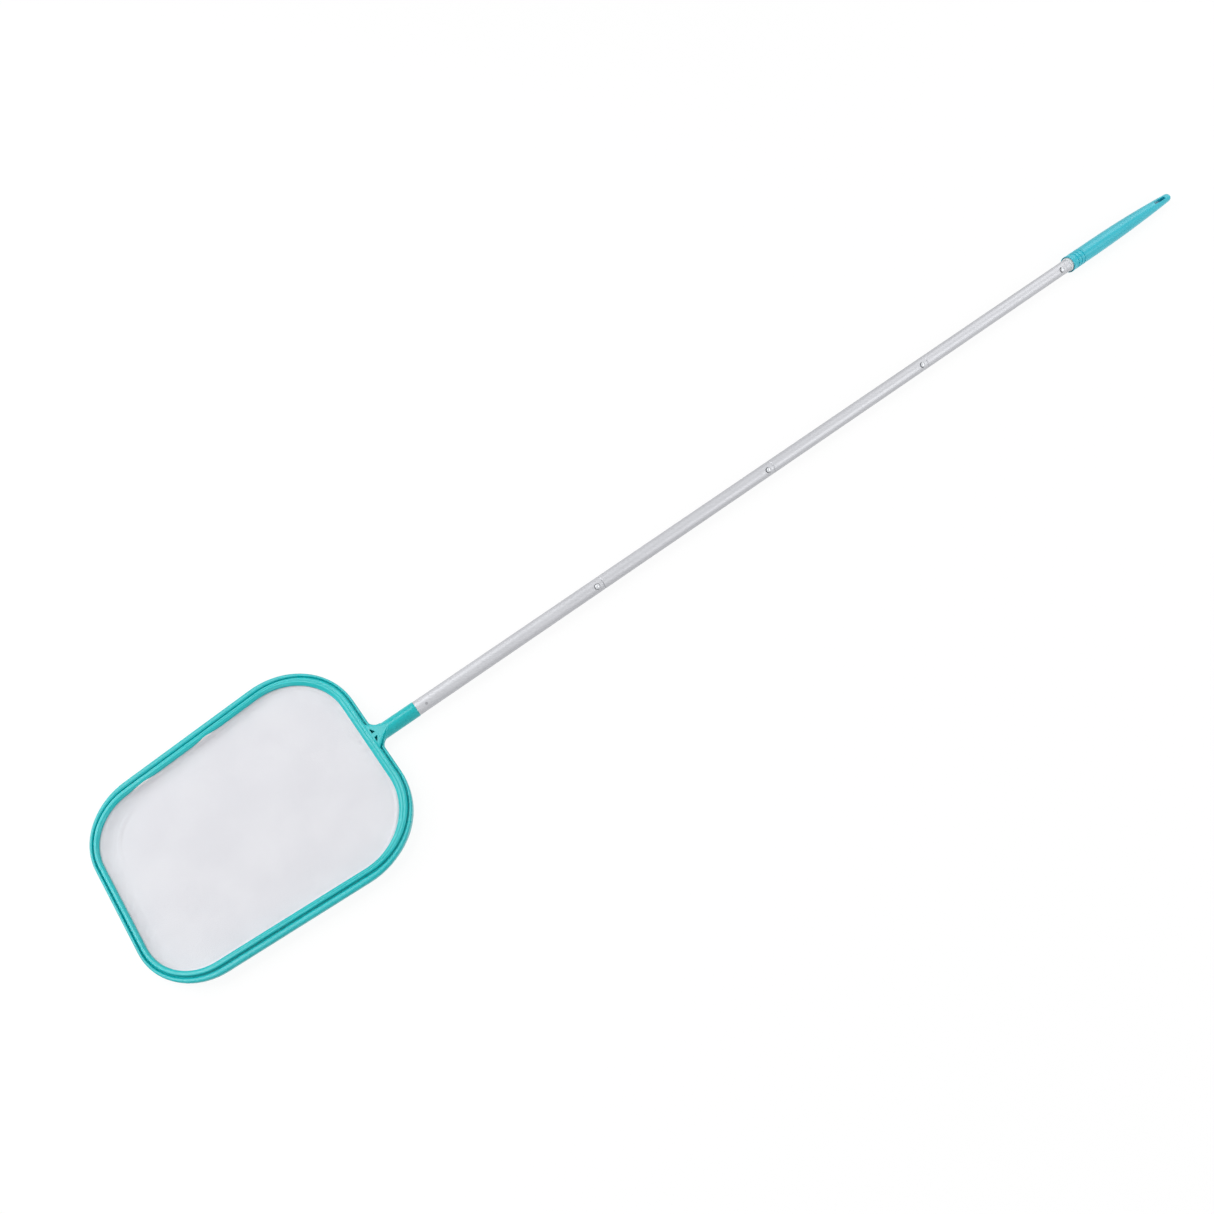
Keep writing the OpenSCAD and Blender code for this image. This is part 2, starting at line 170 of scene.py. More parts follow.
def finish_piece(name, bm, material, replaced, sharp):
    """Turns a bmesh drawn in millimetres into a smooth-shaded piece that rides on the skimmer."""
    bmesh.ops.recalc_face_normals(bm, faces=bm.faces)
    bmesh.ops.scale(bm, vec=(MM, MM, MM), verts=bm.verts)
    mesh = as_mesh(name, bm)
    for face in mesh.polygons:
        face.use_smooth = True
    mesh.set_sharp_from_angle(angle=math.radians(sharp))
    mesh.materials.append(material)
    piece = in_scene(name, mesh)
    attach(piece, "skimmer")
    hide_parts(*replaced)
    return piece


def closed_loop(bm, points):
    verts = [bm.verts.new(p) for p in points]
    return [bm.edges.new((a, b)) for a, b in zip(verts, verts[1:] + verts[:1])]


def loft(bm, loops, closed=True):
    """Extrudes a closed loop of points through the next ones in turn, and back to the first."""
    rows = [closed_loop(bm, loops[0])]
    for before, after in zip(loops, loops[1:] + loops[:1] if closed else loops[1:]):
        moves = {tuple(p): q for p, q in zip(before, after)}
        made = bmesh.ops.extrude_edge_only(bm, edges=rows[-1])["geom"]
        fresh = [v for v in made if isinstance(v, bmesh.types.BMVert)]
        for v in fresh:
            v.co = moves[tuple(v.co)]
        known = set(fresh)
        rows.append([e for e in made if isinstance(e, bmesh.types.BMEdge) and known.issuperset(e.verts)])
    if closed:
        bmesh.ops.remove_doubles(bm, verts=bm.verts, dist=MERGE_DIST)
    return rows


def lathe(bm, profile, steps, start):
    """Spins a profile of (distance along the pole, radius) points about the pole's axis."""
    verts = [bm.verts.new((start + d, 0, AXIS_Z + r)) for d, r in profile]
    edges = [bm.edges.new(pair) for pair in zip(verts, verts[1:])]
    bmesh.ops.spin(
        bm, geom=verts + edges, cent=(0, 0, AXIS_Z), axis=(1, 0, 0), angle=2 * math.pi, steps=steps,
        use_merge=True,
    )
    bmesh.ops.remove_doubles(bm, verts=bm.verts, dist=MERGE_DIST)


def bevel(bm, edges, offset, segments=2):
    bmesh.ops.bevel(
        bm, geom=edges, offset=offset, segments=segments, profile=0.5, affect="EDGES", material=-1
    )


def slab(bm, points, bottom, top, rounding=0.0):
    """A flat-sided block over an outline of (x, y) points, with rounded top edges if asked."""
    floor = bm.faces.new([bm.verts.new((x, y, bottom)) for x, y in points])
    raised = bmesh.ops.extrude_face_region(bm, geom=[floor])["geom"]
    up = [v for v in raised if isinstance(v, bmesh.types.BMVert)]
    bmesh.ops.translate(bm, vec=(0, 0, top - bottom), verts=up)
    if rounding:
        bevel(bm, [e for e in bm.edges if all(v in up for v in e.verts)], rounding, segments=3)


def cut_away(bm, place, normal, outer=False):
    """Cuts a closed mesh with a plane, drops the side behind it or before it, and closes the cut."""
    bmesh.ops.bisect_plane(
        bm, geom=bm.verts[:] + bm.edges[:] + bm.faces[:], plane_co=place, plane_no=normal,
        clear_outer=outer, clear_inner=not outer,
    )
    bmesh.ops.holes_fill(bm, edges=[e for e in bm.edges if e.is_boundary])


def keep_half(bm, place, slope, above):
    """Keeps the half of a closed mesh above or below a plane that rises along the pole."""
    cut_away(bm, place, (-slope, 0, 1), outer=not above)


def as_object(bm):
    bmesh.ops.recalc_face_normals(bm, faces=bm.faces)
    return in_scene("cutter", as_mesh("cutter", bm))


def combine(first, others, operation):
    """Joins or cuts closed meshes, and gives the result as a bmesh."""
    base = as_object(first)
    tools = [as_object(bm) for bm in others]
    for tool in tools:
        step = base.modifiers.new("step", "BOOLEAN")
        step.operation = operation
        step.solver = "EXACT"
        step.object = tool
    graph = bpy.context.evaluated_depsgraph_get()
    out = bmesh.new()
    out.from_object(base, graph)
    for made in [base] + tools:
        mesh = made.data
        bpy.data.objects.remove(made)
        bpy.data.meshes.remove(mesh)
    bmesh.ops.remove_doubles(out, verts=out.verts, dist=MERGE_DIST)
    return out


# ---------------------------------------------------------------- shader helpers

COLOUR_A, COLOUR_B, COLOUR_OUT = 6, 7, 2  # sockets of a Mix node
NUMBER_A, NUMBER_B = 2, 3


class Wire:
    """A socket in a material. Operators on it add Math nodes, and node() adds any other."""

    def __init__(self, tree, socket=None):
        self.tree = tree
        self.socket = socket

    def node(self, kind, settings=None, values=None, output=0):
        made = self.tree.nodes.new(kind)
        for key, value in (settings or {}).items():
            setattr(made, key, value)
        for key, value in (values or {}).items():
            if isinstance(value, Wire):
                self.tree.links.new(value.socket, made.inputs[key])
            else:
                made.inputs[key].default_value = value
        return Wire(self.tree, made.outputs[output]) if made.outputs else None

    def math(self, operation, *others):
        values = dict(enumerate((self,) + others))
        return self.node("ShaderNodeMath", {"operation": operation}, values)

    def __add__(self, other):
        return self.math("ADD", other)

    __radd__ = __add__

    def __sub__(self, other):
        return self.math("SUBTRACT", other)

    def __rsub__(self, other):
        return self.node("ShaderNodeMath", {"operation": "SUBTRACT"}, {0: other, 1: self})

    def __mul__(self, other):
        return self.math("MULTIPLY", other)

    __rmul__ = __mul__

    def sine(self):
        return self.math("SINE")

    def smooth(self, low, high, out_low=0.0, out_high=1.0):
        return self.node(
            "ShaderNodeMapRange",
            {"interpolation_type": "SMOOTHSTEP"},
            {"Value": self, "From Min": low, "From Max": high, "To Min": out_low, "To Max": out_high},
        )

    def mix(self, a, b):
        """Colour a where this is 0 and colour b where it is 1."""
        values = {"Factor": self, COLOUR_A: a, COLOUR_B: b}
        return self.node("ShaderNodeMix", {"data_type": "RGBA"}, values, COLOUR_OUT)

    def noise(self, scale, detail=2.0, roughness=0.5):
        values = {"Vector": self, "Scale": scale, "Detail": detail, "Roughness": roughness}
        return self.node("ShaderNodeTexNoise", None, values)

    def stretched(self, factors):
        return self.node("ShaderNodeMapping", None, {"Vector": self, "Scale": factors})

    def parts(self):
        """The x, y and z of this vector."""
        split = self.node("ShaderNodeSeparateXYZ", None, {0: self})
        return [Wire(self.tree, out) for out in split.socket.node.outputs]


def colour(r, g, b):
    """A colour from its eight-bit values, as a linear one."""
    def linear(c):
        c = c / 255
        return c / 12.92 if c <= 0.04045 else ((c + 0.055) / 1.055) ** 2.4
    return (linear(r), linear(g), linear(b), 1.0)


class Finish:
    """A material with a Principled shader: constants go on its sockets and patterns are linked."""

    def __init__(self, name, **constants):
        self.material = bpy.data.materials.new(name)
        self.material.use_nodes = True
        self.tree = self.material.node_tree
        self.shader = self.tree.nodes["Principled BSDF"]
        self.place = Wire(self.tree).node("ShaderNodeTexCoord", output="Object")
        for key, value in constants.items():
            self.shader.inputs[key.replace("_", " ")].default_value = value

    def link(self, key, wire):
        self.tree.links.new(wire.socket, self.shader.inputs[key])

    def bump(self, height, distance, strength):
        values = {"Height": height, "Distance": distance, "Strength": strength}
        self.link("Normal", height.node("ShaderNodeBump", None, values))


# ---------------------------------------------------------------- finishes

def moulded_plastic(name, light, deep, roughness):
    """Satin moulded plastic: faint clouds of colour, flow marks and a fine eggshell surface."""
    f = Finish(name, Specular_IOR_Level=0.5)
    clouds = f.place.noise(26, detail=3).smooth(0.3, 0.7)
    flow = f.place.stretched((14, 60, 60)).noise(3).smooth(0.35, 0.75)
    f.link("Base Color", (clouds * 0.7 + flow * 0.3).mix(light, deep))
    f.link("Roughness", f.place.noise(160) * 0.08 + (roughness - 0.04))
    grain = f.place.noise(700) + f.place.noise(200, detail=1) * 0.6
    f.bump(grain, distance=0.00003, strength=0.15)
    return f.material


def drawn_aluminium():
    """Satin anodised tube: long fine streaks, a little haze and a few short scuffs."""
    f = Finish("drawn_aluminium", Metallic=0.6)
    streaks = f.place.stretched((6, 420, 420)).noise(2, detail=3)
    haze = f.place.stretched((20, 60, 60)).noise(1).smooth(0.35, 0.7)
    scuffs = f.place.stretched((30, 900, 900)).noise(1, detail=1).smooth(0.66, 0.72)
    tint = streaks * 0.5 + haze * 0.5
    f.link("Base Color", tint.mix(colour(191, 192, 196), colour(196, 197, 201)))
    f.link("Roughness", streaks * 0.04 + haze * 0.04 + scuffs * 0.04 + 0.5)
    f.bump(streaks, distance=0.000003, strength=0.08)
    return f.material


def bright_steel():
    f = Finish("bright_steel", Metallic=1.0)
    marks = f.place.noise(900, detail=3)
    f.link("Base Color", marks.smooth(0.3, 0.8).mix(colour(196, 198, 201), colour(182, 184, 188)))
    f.link("Roughness", marks * 0.14 + 0.34)
    return f.material


def spring_strip():
    f = Finish("spring_strip", Metallic=1.0)
    rolled = f.place.stretched((40, 700, 700)).noise(2)
    f.link("Base Color", rolled.mix(colour(138, 141, 146), colour(168, 171, 176)))
    f.link("Roughness", rolled * 0.2 + 0.25)
    return f.material


def dull_pin():
    f = Finish("dull_pin", Metallic=0.6)
    spots = f.place.noise(1200)
    f.link("Base Color", spots.mix(colour(142, 143, 147), colour(172, 172, 176)))
    f.link("Roughness", spots * 0.2 + 0.4)
    return f.material


def white_plastic():
    f = Finish("white_plastic", Specular_IOR_Level=0.5)
    f.link("Base Color", f.place.noise(60).mix(colour(242, 245, 246), colour(232, 236, 238)))
    f.link("Roughness", f.place.noise(300) * 0.1 + 0.3)
    f.bump(f.place.noise(1400, detail=1), distance=0.00005, strength=0.4)
    return f.material


THREAD_PITCH = 0.00085
FOLD_START, FOLD_FULL = 0.2, 2.6  # heights over the net's level between which a fold turns solid and its colour is painted white, a painted highlight on the raised cloth


def woven_net():
    """Fine net: two sets of round threads over and under each other, with small holes between them."""
    f = Finish("woven_net", Roughness=0.75, Sheen_Weight=0.15, Specular_IOR_Level=0.2)
    x, y, z = f.place.parts()
    turn = 2 * math.pi / THREAD_PITCH
    along = (x * turn).sine() * 0.5 + 0.5
    across = (y * turn).sine() * 0.5 + 0.5
    threads = along.math("MAXIMUM", across)
    over = ((x * (turn / 2)).sine() * (y * (turn / 2)).sine()).smooth(-0.5, 0.5)
    height = over.node("ShaderNodeMix", None, {"Factor": over, NUMBER_A: along, NUMBER_B: across})
    clouds = f.place.noise(18, detail=3, roughness=0.6).smooth(0.35, 0.7)
    tint = (clouds * 0.6 + threads * 0.4).mix(colour(232, 232, 238), colour(240, 240, 245))
    # raised cloth turns opaque where it folds, as doubled cloth does, and is painted pure white there as
    # a painted highlight on the raised folds
    fold_and_painted_highlight = z.smooth((NET_Z + FOLD_START) * MM, (NET_Z + FOLD_FULL) * MM)
    f.link("Base Color", fold_and_painted_highlight.mix(tint, colour(255, 255, 255)))
    f.link("Alpha", threads.smooth(0.3, 0.62, 0.72, 1.0).math("MAXIMUM", fold_and_painted_highlight))
    f.bump(height, distance=0.0002, strength=0.7)
    return f.material


TEAL = moulded_plastic("teal_plastic", colour(8, 193, 197), colour(0, 187, 191), 0.28)
TEAL_RING = moulded_plastic("teal_ring_plastic", colour(12, 197, 200), colour(0, 191, 194), 0.26)
GRIP_TEAL = moulded_plastic("grip_plastic", colour(44, 198, 216), colour(36, 192, 210), 0.34)
ALUMINIUM = drawn_aluminium()
STEEL = bright_steel()
STRIP = spring_strip()
PIN = dull_pin()
WHITE = white_plastic()
NET = woven_net()


# ---------------------------------------------------------------- head

def ramp(value, start, run, low=0.0):
    """Climbs to 1 as the value goes from a start over a run, and stays between low and 1."""
    return min(max((value - start) / run, low), 1)


def arc_points(cx, cy, r, start, end, steps):
    """Points of an arc about (cx, cy), between two angles in degrees."""
    turn = math.radians(end - start) / steps
    first = math.radians(start)
    angles = [first + i * turn for i in range(steps + 1)]
    return [(cx + r * math.cos(a), cy + r * math.sin(a)) for a in angles]


def mirrored(half):
    """An outline from one half of its (x, y) points."""
    return half + [(x, -y) for x, y in reversed(half)]


def shoulder(start, end, low, high, steps=6):
    """Section points of a rounded shoulder, from the wall at its start up to the flat at its end."""
    out = []
    for i in range(steps + 1):
        a = math.radians(90 * i / steps)
        out.append((start + (end - start) * (1 - math.cos(a)), low + (high - low) * math.sin(a)))
    return out


EDGE_SOFT = 0.4
RIM_UNDER = ((0.1, 0), (0.03, 0.3), (0, 1))  # part of the rim's width, height over its underside
BEAD_OUTER, BEAD_INNER = 0.3, 0.58  # parts of the rim's width between which its top is flat
BEAD_DROP = 2.4
LIP_PART = 0.04


def frame_rim():
    """One section led round the head: the bead, the groove and ledge inside it, and the foot rib."""
    foot_out, foot_in = groove_line(-FOOT_OUTSET), groove_line(FOOT_T - FOOT_OUTSET)
    lip = INNER_LINE.toward(POCKET_LINE, LIP_PART)
    bead = [(part, RIM_BOTTOM + up) for part, up in RIM_UNDER]
    bead += shoulder(0, BEAD_OUTER, RIM_TOP - BEAD_DROP, RIM_TOP)
    bead += reversed(shoulder(1, BEAD_INNER, GROOVE_FLOOR, RIM_TOP))
    section = [
        (groove_line(-FOOT_OUTSET + EDGE_SOFT), 0), (foot_out, EDGE_SOFT), (foot_out, RIM_BOTTOM)
    ]
    section += [(RIM_LINE.toward(POCKET_LINE, part), z) for part, z in bead]
    section += [
        (SEAT_LINE, GROOVE_FLOOR + EDGE_SOFT), (SEAT_LINE, LEDGE_TOP), (lip, LEDGE_TOP),
        (INNER_LINE, LEDGE_TOP - EDGE_SOFT), (INNER_LINE, RIM_BOTTOM + EDGE_SOFT), (lip, RIM_BOTTOM),
        (foot_in, RIM_BOTTOM), (foot_in, EDGE_SOFT), (groove_line(FOOT_T - FOOT_OUTSET - EDGE_SOFT), 0),
    ]
    bm = bmesh.new()
    loft(bm, [outline.points(z) for outline, z in section])
    return bm


NECK_BACK = 1
NECK_SINK = 0.4
NECK_LAP = 0.3
NECK_WING = 1
NECK_STEPS = 14
PLATE_UNDER = 0.2
PLATE_DROP = 0.3
PLATE_ROUNDING = 0.9


def neck_plate():
    """The rim's low plate that sweeps into the socket with a fillet on each side."""
    r = NECK_FILLET_R
    y = SOCKET_R + r - NECK_LAP
    wing_xs = (HEAD_NEAR_X - RIM_W[1] + NECK_BACK, HEAD_NEAR_X - NECK_SINK)
    wing = [(x, y + NECK_WING) for x in wing_xs]
    fillet = arc_points(HEAD_NEAR_X + r - NECK_SINK, y, r, 180, 270, NECK_STEPS)
    bm = bmesh.new()
    slab(bm, mirrored(wing + fillet), RIM_BOTTOM + PLATE_UNDER, RIM_TOP - PLATE_DROP, PLATE_ROUNDING)
    return bm


WEB_LAP = 1.6
WEB_X = RING_LINE.near_x - WEB_LAP
WEB_RUN = 20.3
WEB_HALF_W = 17.2
WEB_TIP_HALF_W = 1.5
WEB_HOLLOW = 1.1
WEB_RISE_RUN = 21.7
WEB_SLOPE = (AXIS_Z + SOCKET_R - RING_TOP) / WEB_RISE_RUN
WEB_FOOT = 1
WEB_SPARE = 3
WEB_BEVEL = 0.5
WEB_EDGE_ANGLE = math.radians(40)


def web_side(out=0.0, steps=10):
    """One side of the web as seen from above, moved outwards by a distance."""
    points = []
    for i in range(steps + 1):
        t = i / steps
        half = WEB_HALF_W + (WEB_TIP_HALF_W - WEB_HALF_W) * t - WEB_HOLLOW * math.sin(math.pi * t)
        points.append((WEB_X + WEB_RUN * t, half + out))
    return points


def web():
    """Sloping flat web from the ring's top to a narrow tip on the socket, with gently hollow sides."""
    bm = bmesh.new()
    slab(bm, mirrored(web_side()), RIM_BOTTOM + WEB_FOOT, AXIS_Z + SOCKET_R + WEB_SPARE)
    keep_half(bm, (WEB_X, 0, RING_TOP), WEB_SLOPE, above=False)
    top = [
        e for e in bm.edges
        if e.calc_face_angle(0) > WEB_EDGE_ANGLE
        and all(v.co.z > RING_TOP - WEB_BEVEL for v in e.verts)
        and not all(abs(v.co.x - WEB_X) < TOUCH for v in e.verts)
    ]
    bevel(bm, top, WEB_BEVEL)
    return bm


CHANNEL_W = 2.8
CHANNEL_SLOPE = 0.36
CHANNEL_SINK = 0.6
CHANNEL_SHALLOW = 0.9
CHANNEL_LAP = 0.5
CHANNEL_SPARE = 14


def web_channel(side):
    """Cutter for the valley beside the web, which runs out as it rises onto the socket."""
    if side < 0:
        width, floor = CHANNEL_W, GROOVE_FLOOR - CHANNEL_SINK
    else:
        width, floor = CHANNEL_W / 2, RIM_TOP - CHANNEL_SHALLOW
    outline = web_side(-CHANNEL_LAP) + web_side(width)[::-1]
    bm = bmesh.new()
    slab(bm, [(x, side * y) for x, y in outline], RIM_BOTTOM, AXIS_Z + CHANNEL_SPARE)
    keep_half(bm, (RING_LINE.near_x, 0, floor), CHANNEL_SLOPE, above=True)
    cut_away(bm, (SEAT_LINE.near_x, 0, 0), (1, 0, 0))
    return bm


WINDOW_GAP = 0.7
WINDOW_X = RING_LINE.near_x + WINDOW_GAP
WINDOW_LEN = 4.2
WINDOW_YS = (2.4, 9.2)
WINDOW_FLOOR = 0.8
WINDOW_SPARE = 5
WINDOW_BEVEL = 0.3


def web_window(side):
    """Cutter for one of the web's two small three-cornered pockets."""
    inner, outer = (side * y for y in WINDOW_YS)
    corners = [(WINDOW_X, inner), (WINDOW_X + WINDOW_LEN, inner), (WINDOW_X, outer)]
    bm = bmesh.new()
    slab(bm, corners, RIM_BOTTOM + WINDOW_FLOOR, RING_TOP + WINDOW_SPARE)
    upright = [e for e in bm.edges if abs(e.verts[0].co.z - e.verts[1].co.z) > 1]
    bevel(bm, upright, WINDOW_BEVEL)
    return bm


SOCKET_SINK = 2.6
SOCKET_RINGS = 16
SOCKET_SIDES = 64
SOCKET_SOFT = 0.5
SOCKET_ENDS = 1.2
SOCKET_EDGE = ((0.2, 0.2), (0, 0.6))  # distance before the shoulder, drop from the socket's radius
SPIGOT_CHAMFER = (1, 0.8)
CORE_START = 4


def socket():
    """Round socket from inside the neck to its rounded shoulder, then the spigot, with one core hole."""
    start = HEAD_NEAR_X - SOCKET_SINK
    run = SHOULDER_X - start
    end = run + SPIGOT_LEN
    profile = [(0, 0), (0, SOCKET_R - SOCKET_SOFT)]
    for i in range(SOCKET_RINGS + 1):
        profile.append((SOCKET_SOFT + (run - SOCKET_ENDS) * i / SOCKET_RINGS, SOCKET_R))
    profile += [(run - back, SOCKET_R - drop) for back, drop in SOCKET_EDGE]
    profile += [
        (run, SPIGOT_R), (end - SPIGOT_CHAMFER[0], SPIGOT_R), (end, SPIGOT_R - SPIGOT_CHAMFER[1]),
        (end, CORE_R), (CORE_START, CORE_R), (CORE_START, 0),
    ]
    bm = bmesh.new()
    lathe(bm, profile, SOCKET_SIDES, start)
    keep_half(bm, (WEB_X, 0, RING_TOP), WEB_SLOPE, above=False)
    return bm


def net_frame():
    body = combine(frame_rim(), [neck_plate(), socket()], "UNION")
    body = combine(body, [web_channel(1), web_channel(-1)], "DIFFERENCE")
    body = combine(body, [web()], "UNION")
    body = combine(body, [web_window(1), web_window(-1)], "DIFFERENCE")
    finish_piece("frame_moulding", body, TEAL, ["net_frame"], sharp=35)


# parts of the ring's width, with heights over its underside or drops from its top
RING_UNDER = ((0.03, 0), (0, 0.3))
RING_SHOULDER = (0.22, 1.8)
RING_FACE = (
    (0.33, 0.03), (0.37, 0.32), (0.42, 0.42), (0.47, 0.32), (0.51, 0.03), (0.57, 0), (0.64, 0.08),
    (0.72, 0.3), (0.91, 1.3), (0.955, 1.55), (0.975, 2.7), (1, 3.1),
)
RING_LIP = ((1, 0.2), (0.97, 0))

CHANNEL_PARTS = (0.3, 0.55)
CHANNEL_FADE = (45, 160)  # distance from the far end where the channel starts to deepen, and its run
CHANNEL_LEAST = 0.1
SLOPE_PARTS = (0.6, 0.96)
STEEPER_FROM = (-95, 60)  # place against the pole's end where the ring's slope gets steeper, and its run
STEEPER = 0.75


def ring_loop(part, z):
    """One loop of the ring: its channel fades at the far end, and its slope steepens at the other."""
    loop = RING_LINE.toward(INNER_LINE, part).points(z)
    for p in loop:
        if CHANNEL_PARTS[0] < part < CHANNEL_PARTS[1]:
            depth = ramp(p.x - HEAD_FAR_X, *CHANNEL_FADE, low=CHANNEL_LEAST)
            p.z = RING_TOP - (RING_TOP - z) * depth
        elif SLOPE_PARTS[0] < part < SLOPE_PARTS[1]:
            p.z = RING_TOP - (RING_TOP - z) * (1 + ramp(p.x - HEAD_NEAR_X, *STEEPER_FROM) * STEEPER)
    return loop


PEG_R = 1.1
PEG_HEAD_R = 1.5
PEG_SIDES = 16
PEG_INSET = 0.5
PEGS_SIDE = 4
PEG_NEAR_Y = 38
PEG_ROOT = 0.5
PEG_END = 1.4
PEG_HEAD_FROM, PEG_HEAD_TO = 0.1, 1.5  # below the frame's underside


def peg_places():
    """Places of the snap pegs: a row along each side and one to each side of the neck."""
    line = groove_line(GROOVE_W / 2 + PEG_R + PEG_INSET)
    normal = (-math.sin(SIDE_SLOPE), math.cos(SIDE_SLOPE))
    ends = [(cx + r * normal[0], cy + r * normal[1]) for (cx, cy), r in zip(line.centres, line.radii)]
    places = []
    for i in range(PEGS_SIDE):
        t = (i + 0.5) / PEGS_SIDE
        x, y = (a + t * (b - a) for a, b in zip(*ends))
        places += [(x, y), (x, -y)]
    near_x = HEAD_NEAR_X - RIM_W[1] - RING_W[1] / 2
    return places + [(near_x, PEG_NEAR_Y), (near_x, -PEG_NEAR_Y)]


def snap_peg(bm, x, y):
    """A peg down through the ledge, and the wider head below it."""
    stem = (PEG_R, RIM_BOTTOM - PEG_END, RING_BOTTOM + PEG_ROOT)
    head = (PEG_HEAD_R, RIM_BOTTOM - PEG_HEAD_TO, RIM_BOTTOM - PEG_HEAD_FROM)
    for top_r, low, high in (stem, head):
        bmesh.ops.create_cone(
            bm, cap_ends=True, segments=PEG_SIDES, radius1=PEG_R, radius2=top_r, depth=high - low,
            matrix=Matrix.Translation((x, y, (low + high) / 2)),
        )


def retaining_ring():
    """The ring's outer flat, its slope towards the net and its thin lip, with snap pegs below."""
    section = [(part, RING_BOTTOM + up) for part, up in RING_UNDER]
    section += shoulder(0, RING_SHOULDER[0], RING_TOP - RING_SHOULDER[1], RING_TOP)
    section += [(part, RING_TOP - drop) for part, drop in RING_FACE]
    section += [(part, RING_BOTTOM + up) for part, up in RING_LIP]
    bm = bmesh.new()
    loft(bm, [ring_loop(part, z) for part, z in section])
    for x, y in peg_places():
        snap_peg(bm, x, y)
    finish_piece("ring_moulding", bm, TEAL_RING, ["retaining_ring"], sharp=35)


# ---------------------------------------------------------------- net

NET_REACH = 3.0
NET_HALF_W = 120
NET_ROWS = ((0, 1.5, 2), (3, 0.45, 9), (7.5, 1, 14), (25, 4.5, 16))  # distance in, step, number of rows
NET_SAG = 4.8
SAG_FROM = (3, 3.2)  # where it starts, in from the net's edge, and its run, as in the next two
SLACK_FROM = (4, 10)
RIPPLE_FROM = (3, 2)
TIGHT_FROM = (-120, 90)  # place against the pole's end where the net gets tighter, and its run
TIGHTENING = 0.6
SLACK = ((0.018, (0, 0, 0), 0.9), (0.05, (7, 3, 1), 0.45))  # waves per mm, place in the noise, height
RIPPLES = (0.16, 5, 0.8)  # waves per mm, level in the noise, height, as in PUCKER_ROUGH
RIPPLE_LINE = (6, 5)  # distance in from the net's edge, width, as in the other lines
PUCKERS = ((-648, 111, 17, 4.9), (-726, 106, 18, 4.7), (-533, -88, 24, 1.7))  # x, y, reach, rise
PUCKER_ROUGH = (0.09, 9, 0.2)
PUCKER_EVEN = 0.95
PUCKER_LINE = (4.2, 1.25)
PUCKER_LEAN = 0.15
CREASE = (-771, 75, 26, 0.75)
CREASE_LINE = (16, 1.3)


def near(p, x, y, reach, rise):
    return rise * math.exp(-((p.x - x) ** 2 + (p.y - y) ** 2) / reach ** 2)


def along_line(inward, middle, width):
    return math.exp(-((inward - middle) / width) ** 2)


def waves(p, rate, level, height):
    return noise.noise(Vector((p.x * rate, p.y * rate, level))) * height


def net_shift(p, inward):
    """How far the net stands off its level: a sag, soft waves, puckers over the ring's lip and a crease.

    The second number is how far it leans out over the ring.
    """
    slack = sum(noise.noise(p * rate + Vector(place)) * height for rate, place, height in SLACK)
    tight = ramp(p.x - HEAD_NEAR_X, *TIGHT_FROM)
    hang = 1 - math.exp(-max(inward - SAG_FROM[0], 0) / SAG_FROM[1])
    sag = -NET_SAG * (1 - TIGHTENING * tight) * hang
    ripple = ramp(inward, *RIPPLE_FROM) * along_line(inward, *RIPPLE_LINE) * waves(p, *RIPPLES)
    rough = PUCKER_EVEN + waves(p, *PUCKER_ROUGH)
    ridge = sum(near(p, *pucker) for pucker in PUCKERS) * rough * along_line(inward, *PUCKER_LINE)
    crease = near(p, *CREASE) * along_line(inward, *CREASE_LINE)
    return ramp(inward, *SLACK_FROM) * slack + sag + ripple + ridge + crease, PUCKER_LEAN * ridge


def net_sheet():
    """The net, stretched across the head and held between the ring and the ledge."""
    edge = Outline(*(a + b - NET_REACH for a, b in zip(RIM_W, RING_W)))
    centre = Vector(((edge.far_x + edge.near_x) / 2, 0, NET_Z))
    outer = edge.points(NET_Z, arc_steps=32, side_steps=100)
    insets = [start + step * i for start, step, count in NET_ROWS for i in range(count)]
    loops = [[centre + (p - centre) * (1 - inset / NET_HALF_W) for p in outer] for inset in insets]
    bm = bmesh.new()
    edges = loft(bm, loops, closed=False)
    bmesh.ops.contextual_create(bm, geom=edges[-1])
    bmesh.ops.poke(bm, faces=[f for f in bm.faces if len(f.verts) > 4])
    for k, v in enumerate(bm.verts):
        inset = insets[min(k // len(outer), len(insets) - 1)]
        rise, out = net_shift(v.co.copy(), inset)
        v.co += Vector((0, 0, rise)) + (v.co - centre).normalized() * out
    net = finish_piece("net_cloth", bm, NET, ["net_mesh"], sharp=180)


# ---------------------------------------------------------------- grip

GRIP_SIDES = 96
GROOVE_STARTS = (8.7, 14.4, 20.6)
GRIP_GROOVE_W = 1.6
GRIP_GROOVE_D = 0.75
GRIP_GROOVE = (
    (-0.4, 0), (-0.2, -0.17), (0, -0.08), (0.12, 0.7), (0.35, 1), (0.65, 1), (0.88, 0.7), (1, -0.08),
    (1.2, -0.17), (1.4, 0),
)  # part of the groove's width, part of its depth
TAPER_START = 45
TAPER_POWER = 2.05
TAPER_ROWS_FROM, TAPER_ROW_STEP = 26, 3
TIP_ROUND = 5.2
TIP_STEPS = 9
TIP_DROP = 1.6
DROP_POWER = 3
FLAT_START = 150
FLAT_SLOPE = math.radians(5.4)
FLAT_SOFT = 0.7
SOFT_REACH = 6
SEAT_R = 8.55
SEAT_LEN = 112
BUSH_SEAT_R = 9.15
BUSH_SEAT = 8
MOUTH_R = 10.75
MOUTH_DEPTH = 2.8
MOUTH_CHAMFER = 0.3
MOUTH_LIP = 0.1
COLLAR_EDGE = ((0, 0.35), (0.12, 0.1), (0.4, 0), (3.2, 0))  # distance in, drop from the collar's radius
COLLAR_END = 3.7
SLOT_FROM, SLOT_TO = 173.5, 196.5
SLOT_HALF_W = 2.3
SLOT_FLARE = ((0, -0.9), (0.05, -0.35), (0.2, 0.1))  # how much wider, height over the flat
SLOT_SPARE = 12
SLOT_STEPS = 12


